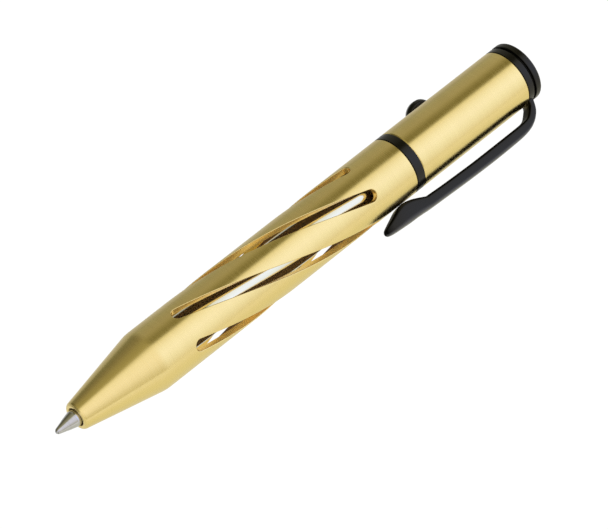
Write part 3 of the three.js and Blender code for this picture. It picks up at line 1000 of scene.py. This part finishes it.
def clip():
    arm = clip_arm()
    outline = [
        (RING_FRONT, 3.96, 0.03),
        (RING_FRONT, BODY_R, 0.1),
        (RING_REAR, BODY_R, 0.12),
        (RING_REAR, 3.96, 0.03),
    ]
    obj = turned("clip_visual", outline, CLIP_BLACK, 160)
    boolean(obj, arm, "UNION", [CLIP_BLACK])
    smooth_by_angle(obj.data, 38)
    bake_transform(obj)
    finish(obj, None, "black_coated_metal", "clip_ring", "clip_arm")


# ------------------------------------------------------------------ coupler with real threads
def coupler():
    pitch, crest, root, fade_length = 0.6, 3.89, 3.55, 0.5

    def thread(start, stop):
        """Stations of a thread that fades in and out at its ends."""
        count = max(1, int(round(abs(stop - start) / (pitch / 10))))
        rows = []
        for i in range(count + 1):
            x = start + (stop - start) * i / count
            rows.append((x, root, min(1.0, min(abs(x - start), abs(stop - x)) / fade_length)))
        return rows

    # x, radius, height of the thread as a share of its full height
    stations = [
        (-21.3, 3.15, 0),
        (-21.3, 3.5, 0),
        *thread(-21.5, -24.9),
        (-25.0, 3.8, 0),
        (-25.0, 3.46, 0),
        (-25.8, 3.46, 0),
        (-25.8, 3.88, 0),
        (-28.2, 3.88, 0),
        (-28.2, 3.46, 0),
        (-29.0, 3.46, 0),
        (-29.0, 3.8, 0),
        *thread(-29.1, -33.5),
        (-33.8, 3.5, 0),
        (-33.8, 3.15, 0),
    ]
    segments = 120
    angles = circle_angles(segments)
    rows = []
    for x, radius, share in stations:
        phase = (x / pitch - angles / (2 * math.pi)) % 1.0
        triangle = 1 - np.abs(2 * phase - 1)
        ridge = np.clip((triangle - 0.12) / 0.76, 0, 1)  # flattened at crest and root
        rows.append(around(x, radius + (crest - root) * ridge * share, angles))
    faces = tube_faces(len(rows), segments, closed=True)
    mesh = solid_mesh("threaded_coupler_visual", np.concatenate(rows), faces)
    mesh.materials.append(STEEL)
    obj = add_object("threaded_coupler_visual", mesh)
    smooth_by_angle(mesh, 35)
    finish(obj, "housing", "machined_steel", "threaded_coupler")


# ------------------------------------------------------------------ return spring
def spring():
    coil_r, wire_r, turns = 2.2, 0.21, 7.5
    gap = 0.03
    x0, x1 = -88.5, -82.1 - wire_r - gap
    steps, around_wire = int(turns * 40), 14
    end_pitch = 2 * wire_r + gap  # the first and last turns lie nearly closed
    middle_pitch = (x1 - x0 - 2 * end_pitch) / (turns - 2)

    def wire_centre(turn):
        if turn < 1:
            x = x0 + end_pitch * turn
        elif turn > turns - 1:
            x = x1 - end_pitch * (turns - turn)
        else:
            x = x0 + end_pitch + middle_pitch * (turn - 1)
        angle = 2 * math.pi * turn
        return np.array([x, coil_r * math.cos(angle), coil_r * math.sin(angle)])

    path = np.array([wire_centre(k / steps * turns) for k in range(steps + 1)])

    def heading(k):
        d = path[min(k + 1, steps)] - path[max(k - 1, 0)]
        return d / np.linalg.norm(d)

    angles = circle_angles(around_wire)
    rows, normals = [], []
    for k, centre in enumerate(path):
        ahead = heading(k)
        radial = np.array([0, centre[1], centre[2]]) / coil_r
        radial -= ahead * (radial @ ahead)
        radial /= np.linalg.norm(radial)
        other = np.cross(ahead, radial)
        ring = np.outer(np.cos(angles), radial) + np.outer(np.sin(angles), other)
        rows.append(centre + ring * wire_r)
        normals.append(ring)
    patch = Patchwork()
    patch.grid(rows, normals)
    for k, sign in ((0, -1), (steps, 1)):  # flat ends of the wire
        facing = sign * heading(k)
        base = len(patch.verts)
        patch.verts.extend([*rows[k], path[k]])
        for j in range(around_wire):
            patch.faces.append((base + j, base + (j + 1) % around_wire, base + around_wire))
            patch.normals.append((facing, facing, facing))
            patch.mats.append(0)
    obj = patch.build("return_spring_visual", [SPRING])
    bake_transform(obj)
    finish(obj, None, "spring_steel", "return_spring")


# ------------------------------------------------------------------ o-rings and ball
def oring(node, x):
    patch = Patchwork()
    rows = arc_rows(x, radius=3.72, arc_r=0.25, angles=circle_angles(20))
    patch.lathe(rows, circle_angles(120), closed=True)
    finish(patch.build(f"{node}_visual", [RUBBER]), "housing", "black_rubber", node)


def writing_ball():
    patch = Patchwork()
    rows = arc_rows(BALL_X, radius=0.0, arc_r=BALL_R, angles=[math.pi * k / 24 for k in range(25)])
    patch.lathe(rows, circle_angles(48), closed=False)
    finish(patch.build("writing_ball_visual", [CARBIDE]), "ball", "ball_carbide", "writing_ball")


# ------------------------------------------------------------------ bolt
def bolt_carrier():
    obj = turned(
        "bolt_carrier_visual",
        [
            (-13.2, 0),
            (-13.2, 3.2, 0.05),
            (-13.45, CARRIER_R, 0.1),
            (-14.0, CARRIER_R, 0),
            (-14.1, 3.36, 0.03),
            (-14.35, 3.36, 0.03),
            (-14.45, CARRIER_R, 0),
            (-20.05, CARRIER_R, 0.1),
            (-20.3, 3.3, 0.05),
            (-20.3, CARRIER_BORE_R, 0.05),
            (-18.1, CARRIER_BORE_R, 0.05),
            (-18.1, 0),
        ],
        STEEL,
        144,
        closed=False,
    )
    # the stem's hole
    outline = [(0.8, 0), (0.8, 1.15, 0), (4.2, 1.15, 0), (4.2, 0)]
    hole = turned("hole_tool", outline, STEEL, 48, closed=False)
    stand_at_stem(hole)
    boolean(obj, hole, "DIFFERENCE", [STEEL])
    renormal(obj, 32, [(CARRIER_R, 1), (CARRIER_BORE_R, -1)])
    finish(obj, "bolt", "machined_steel", "bolt_carrier")


def bolt_stem():
    # distance from the pen's axis, radius, corner radius
    outline = [
        (0.9, 0),
        (0.9, 0.95, 0.03),
        (1.05, 1.1, 0.03),
        (6.7, 1.1, 0.03),
        (6.85, 0.95, 0.03),
        (6.85, 0),
    ]
    obj = turned("bolt_stem_visual", outline, STEEL, 64, closed=False)
    stand_at_stem(obj)
    finish(obj, "bolt", "machined_steel", "bolt_stem")


def bolt_knob():
    # distance from the pen's axis, radius, corner radius
    outline = [
        (5.2, 1.14, 0.03),
        (5.2, 1.85, 0.08),
        (5.6, 1.85, 0.35),
        (6.0, 2.45, 0.35),
        (6.8, 2.45, 0.6),
        (7.62, 1.85, 0.45),
        (7.8, 0.9, 1.2),
        (7.8, 0.0, 0),
        (6.95, 0.0, 0),
        (6.95, 1.14, 0.0),
    ]
    obj = turned("bolt_knob_visual", outline, BLACK, 112, steps=8)
    stand_at_stem(obj)
    finish(obj, "bolt", "black_coated_metal", "bolt_knob")


# ------------------------------------------------------------------ build the pieces
front_barrel()
rear_barrel()
clip()
coupler()
spring()
oring("end_cap_oring", x=-4.3)
oring("coupler_rear_oring", x=-25.4)
oring("coupler_front_oring", x=-28.6)

# outlines below: x, radius, corner radius where it is not the default
turned_piece(
    "centre_band", "housing", "black_coated_metal", BLACK, 180,
    [
        (BAND_REAR, 3.95, 0.03),
        (BAND_REAR, BODY_R, 0.09),
        (BAND_FRONT, BODY_R, 0.09),
        (BAND_FRONT, 3.95, 0.03),
    ],
)

turned_piece(
    "end_cap", "housing", "black_coated_metal", BLACK, 180,
    [
        (0, 0),
        (0, 4.5, 0.25),
        (-0.30, 5.02, 0.45),
        (-1.35, 5.02, 0.13),
        (-1.35, 4.5, 0.05),
        (-1.77, 4.5, 0.02),
        (-1.77, 3.9, 0.05),
        (-3.9, 3.9, 0.03),
        (-3.9, 3.45, 0.03),
        (-4.7, 3.45, 0.03),
        (-4.7, 3.9, 0.03),
        (-6.7, 3.9, 0.05),
        (-6.9, 3.7, 0.03),
        (-6.9, 2.6, 0.05),
        (-2.2, 2.6, 0.1),
        (-1.9, 0),
    ],
    closed=False,
)

turned_piece(
    "refill_tube", "refill", "refill_plating", NICKEL, 160,
    [
        (-18.95, 2.6, 0.03),
        (-18.95, 2.95, 0.1),
        (-19.9, 2.95, 0),
        (-20.05, 2.90, 0.05),
        (-20.25, 2.90, 0.05),
        (-20.4, 2.95, 0),
        (-79.6, 2.95, 0),
        (-79.75, 2.90, 0.05),
        (-79.95, 2.90, 0.05),
        (-80.1, 2.95, 0),
        (-81.6, 2.95, 0.1),
        (-81.6, 2.6, 0.03),
    ],
)

turned_piece(
    "refill_plug", "refill", "plug_plastic", PLASTIC, 96,
    [
        (-18.2, 0),
        (-18.2, 2.3, 0.1),
        (-18.4, 2.75, 0.12),
        (-18.9, 2.75, 0.03),
        (-18.9, 2.55, 0.03),
        (-22.8, 2.55, 0.08),
        (-23.0, 2.35, 0.05),
        (-23.0, 0),
    ],
    closed=False,
)

turned_piece(
    "refill_nose", "refill", "refill_brass", REFILL_BRASS, 112,
    [
        (-77.2, 0.5),
        (-77.2, 2.35),
        (-77.4, 2.55),
        (-81.65, 2.55, 0),
        (-81.65, 2.85, 0.03),
        (-81.75, 2.95, 0.04),
        (-81.95, 2.95, 0.06),
        (-82.1, 2.8, 0.05),
        (-82.1, 1.78, 0.08),
        (-87.9, 1.6, 0.1),
        (-88.35, 1.45, 0.08),
        (-88.35, 0.97, 0.02),
        (-85.0, 0.97, 0),
        (-85.0, 0.5, 0),
    ],
)

# the socket's wall follows the ball, from 104 to 38 degrees off +X
socket = []
for k in range(9):
    angle = (104 - 66 * k / 8) * DEG
    socket.append((BALL_X + SOCKET_R * math.cos(angle), SOCKET_R * math.sin(angle), 0))
turned_piece(
    "refill_tip", "refill", "tip_steel", TIP, 112,
    [
        (-85.1, 0.24, 0),
        (-85.1, 0.85, 0.03),
        (-85.2, 0.93, 0.03),
        (-88.4, 0.93, 0.02),
        (-88.4, 1.2, 0.03),
        (-88.5, 1.3, 0.04),
        (-94.9, 1.3, 0.12),
        (-96.53, 0.885, 0.02),
        (-96.60, 0.845, 0.02),
        (-97.72, 0.54, 0.10),
        (-97.95, 0.475, 0.06),
        (-98.085, 0.40, 0.015),
        *socket,
        (BALL_X + 0.31, 0.24, 0),
    ],
    default=0.03,
)

writing_ball()
bolt_carrier()
bolt_stem()
bolt_knob()

# ------------------------------------------------------------------ surroundings
scene = bpy.context.scene
# Colours shown by the sky and floor are stored divided by GAIN, and their strength is GAIN.
GAIN = 2.0
WHITE = (1 / GAIN,) * 3

# What the pen mirrors, by the angle round its axis: a dim side, a bright overhead and a pale
# far side. SKY_REAR is for directions that lean to the rear end (+X), SKY_TIP for those square
# to the pen or towards the tip. Columns: degrees, red, green / red, blue / red.
SKY_REAR = [
    (0, 0.457, 0.994, 0.784),
    (16, 0.446, 0.954, 0.727),
    (34, 0.450, 0.934, 0.702),
    (44, 0.393, 0.925, 0.625),
    (54, 0.272, 0.912, 0.520),
    (64, 0.166, 0.890, 0.391),
    (76, 0.170, 0.887, 0.325),
    (80, 0.313, 0.930, 0.549),
    (86, 0.984, 0.978, 0.864),
    (96, 1.020, 1.006, 1.074),
    (112, 1.098, 1.058, 1.282),
    (130, 1.136, 1.065, 1.382),
    (146, 1.097, 1.069, 1.321),
    (160, 1.041, 1.056, 1.229),
    (172, 0.994, 1.017, 1.115),
    (180, 0.944, 0.994, 1.022),
]
SKY_TIP = [
    (0, 0.163, 0.993, 0.596),
    (16, 0.131, 0.940, 0.492),
    (36, 0.201, 0.884, 0.484),
    (56, 0.346, 0.915, 0.513),
    (74, 0.423, 0.914, 0.503),
    (80, 0.480, 0.931, 0.608),
    (88, 0.825, 0.960, 0.833),
    (98, 1.009, 0.979, 0.975),
    (126, 1.026, 0.971, 1.007),
    (146, 0.944, 0.968, 0.962),
    (160, 0.809, 0.956, 0.865),
    (172, 0.703, 0.947, 0.755),
    (180, 0.644, 0.936, 0.700),
]
# The floor's glow across the pen: y in mm, red, green / red, blue / red.
FLOOR_GLOW = [
    (-90, 0.872, 0.985, 0.93),
    (-45, 0.865, 0.98, 0.92),
    (-27, 0.84, 0.97, 0.86),
    (-18, 0.8, 0.97, 0.8),
    (-10, 0.765, 0.975, 0.76),
    (-6, 0.72, 0.98, 0.8),
    (-2, 0.7, 0.99, 0.86),
    (3, 0.78, 1, 0.95),
    (9, 0.66, 0.995, 0.95),
    (12, 0.58, 0.995, 0.95),
    (17, 0.49, 0.99, 0.95),
    (26, 0.42, 0.99, 0.92),
    (60, 0.36, 0.985, 0.82),
    (90, 0.35, 0.98, 0.8),
]


def colour_table(shader, value, rows):
    """A colour read off a table by straight lines between its rows."""
    low, high = rows[0][0], rows[-1][0]
    ramp = shader.new("ShaderNodeValToRGB")
    ramp.color_ramp.interpolation = "LINEAR"
    elements = ramp.color_ramp.elements
    while len(elements) > 1:
        elements.remove(elements[-1])
    for k, (key, red, green, blue) in enumerate(rows):
        position = (key - low) / (high - low)
        element = elements[0] if k == 0 else elements.new(position)
        element.position = position
        element.color = (red / GAIN, red * green / GAIN, red * blue / GAIN, 1)
    shader.feed(ramp, {"Fac": shader.remap(value, between=(low, high), to=(0, 1))})
    return ramp.outputs["Color"]


def white_to_camera(shader, colour):
    """The colour for light and mirror rays, plain white where the camera sees it directly."""
    path = shader.new("ShaderNodeLightPath")
    return shader.mix(path.outputs["Is Camera Ray"], colour, WHITE)


def floor():
    size, drop = 3.0, 0.0002  # metres: half its width, and its depth under the pen
    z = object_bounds()[0].z - drop
    mesh = bpy.data.meshes.new("floor")
    corners = [(-size, -size, z), (size, -size, z), (size, size, z), (-size, size, z)]
    mesh.from_pydata(corners, [], [(0, 1, 2, 3)])
    obj = add_object("floor", mesh)
    mat, shader, bsdf = start_material("pale_floor")
    position = shader.new("ShaderNodeNewGeometry").outputs["Position"]
    xyz = shader.new("ShaderNodeSeparateXYZ", {0: position})
    y = shader.math("MULTIPLY", xyz.outputs["Y"], 1000.0)
    glow = colour_table(shader, y, FLOOR_GLOW)
    shader.feed(
        bsdf,
        {
            "Base Color": (0.05, 0.05, 0.05, 1),
            "Roughness": 0.8,
            "Specular IOR Level": 0.0,
            "Emission Color": white_to_camera(shader, glow),
            "Emission Strength": GAIN,
        },
    )
    mesh.materials.append(mat)
    obj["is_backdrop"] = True


def sky():
    world = bpy.data.worlds.new("studio")
    scene.world = world
    shader = Shader(world)
    direction = shader.new("ShaderNodeTexCoord").outputs["Generated"]
    xyz = shader.new("ShaderNodeSeparateXYZ", {0: direction})
    turn = shader.math("ARCTAN2", xyz.outputs["Z"], xyz.outputs["Y"])
    turn = shader.math("MULTIPLY", turn, 180 / math.pi)
    colour = shader.mix(
        shader.remap(xyz.outputs["X"], between=(0.16, 0.44), to=(0, 1)),
        colour_table(shader, turn, SKY_TIP),
        colour_table(shader, turn, SKY_REAR),
    )
    background = shader.tree.nodes["Background"]
    shader.feed(background, {"Color": white_to_camera(shader, colour), "Strength": GAIN})


def soft_box():
    """A large lamp above and to the -Y side, left out of reflections."""
    location, target = Vector((-0.05, -0.55, 0.75)), Vector((-0.05, 0, 0))
    light = bpy.data.lights.new("soft_box", "AREA")
    light.shape = "RECTANGLE"
    light.size = 0.9
    light.size_y = 0.6
    light.energy = 4.0
    obj = add_object("soft_box", light)
    obj.location = location
    obj.rotation_euler = (target - location).to_track_quat("-Z", "Y").to_euler()
    obj.visible_glossy = False


def camera():
    """The pen's axis runs up to the right at 38 degrees, its tip nearer the lens.
    Lens coordinates are right, down, forward."""
    yaw, tilt, roll = 0.66752, 0.478078, 5.0 * DEG  # of the pen before the lens
    anchor_x = 36.0  # mm: station of a point on the axis, behind the rear end
    anchor = Vector((58.07466175, -49.68951892, 695.14220855))  # that point in the lens's mm
    axis = Vector(
        (math.cos(tilt) * math.cos(yaw), -math.cos(tilt) * math.sin(yaw), math.sin(tilt))
    )
    # the pen's Y and Z in lens coordinates, before and after it is rolled about its axis
    level_z = Vector((0, -axis.z, axis.y)).normalized()
    level_y = level_z.cross(axis)
    pen_y = level_y * math.cos(roll) + level_z * math.sin(roll)
    pen_z = -level_y * math.sin(roll) + level_z * math.cos(roll)
    to_pen = Matrix((axis, pen_y, pen_z))
    origin = anchor - anchor_x * axis
    right = to_pen @ Vector((1, 0, 0))
    down = to_pen @ Vector((0, 1, 0))
    ahead = to_pen @ Vector((0, 0, 1))

    data = bpy.data.cameras.new("camera")
    data.sensor_fit = "HORIZONTAL"
    data.sensor_width = 36.0
    data.lens = 261.4802566
    data.clip_start, data.clip_end = 0.01, 20
    obj = add_object("camera", data)
    placing = Matrix((right, -down, -ahead)).transposed().to_4x4()
    placing.translation = -(to_pen @ origin) * MM
    obj.matrix_world = placing
    scene.camera = obj


floor()
sky()
soft_box()
camera()

scene.view_settings.view_transform = "Standard"
scene.view_settings.look = "None"
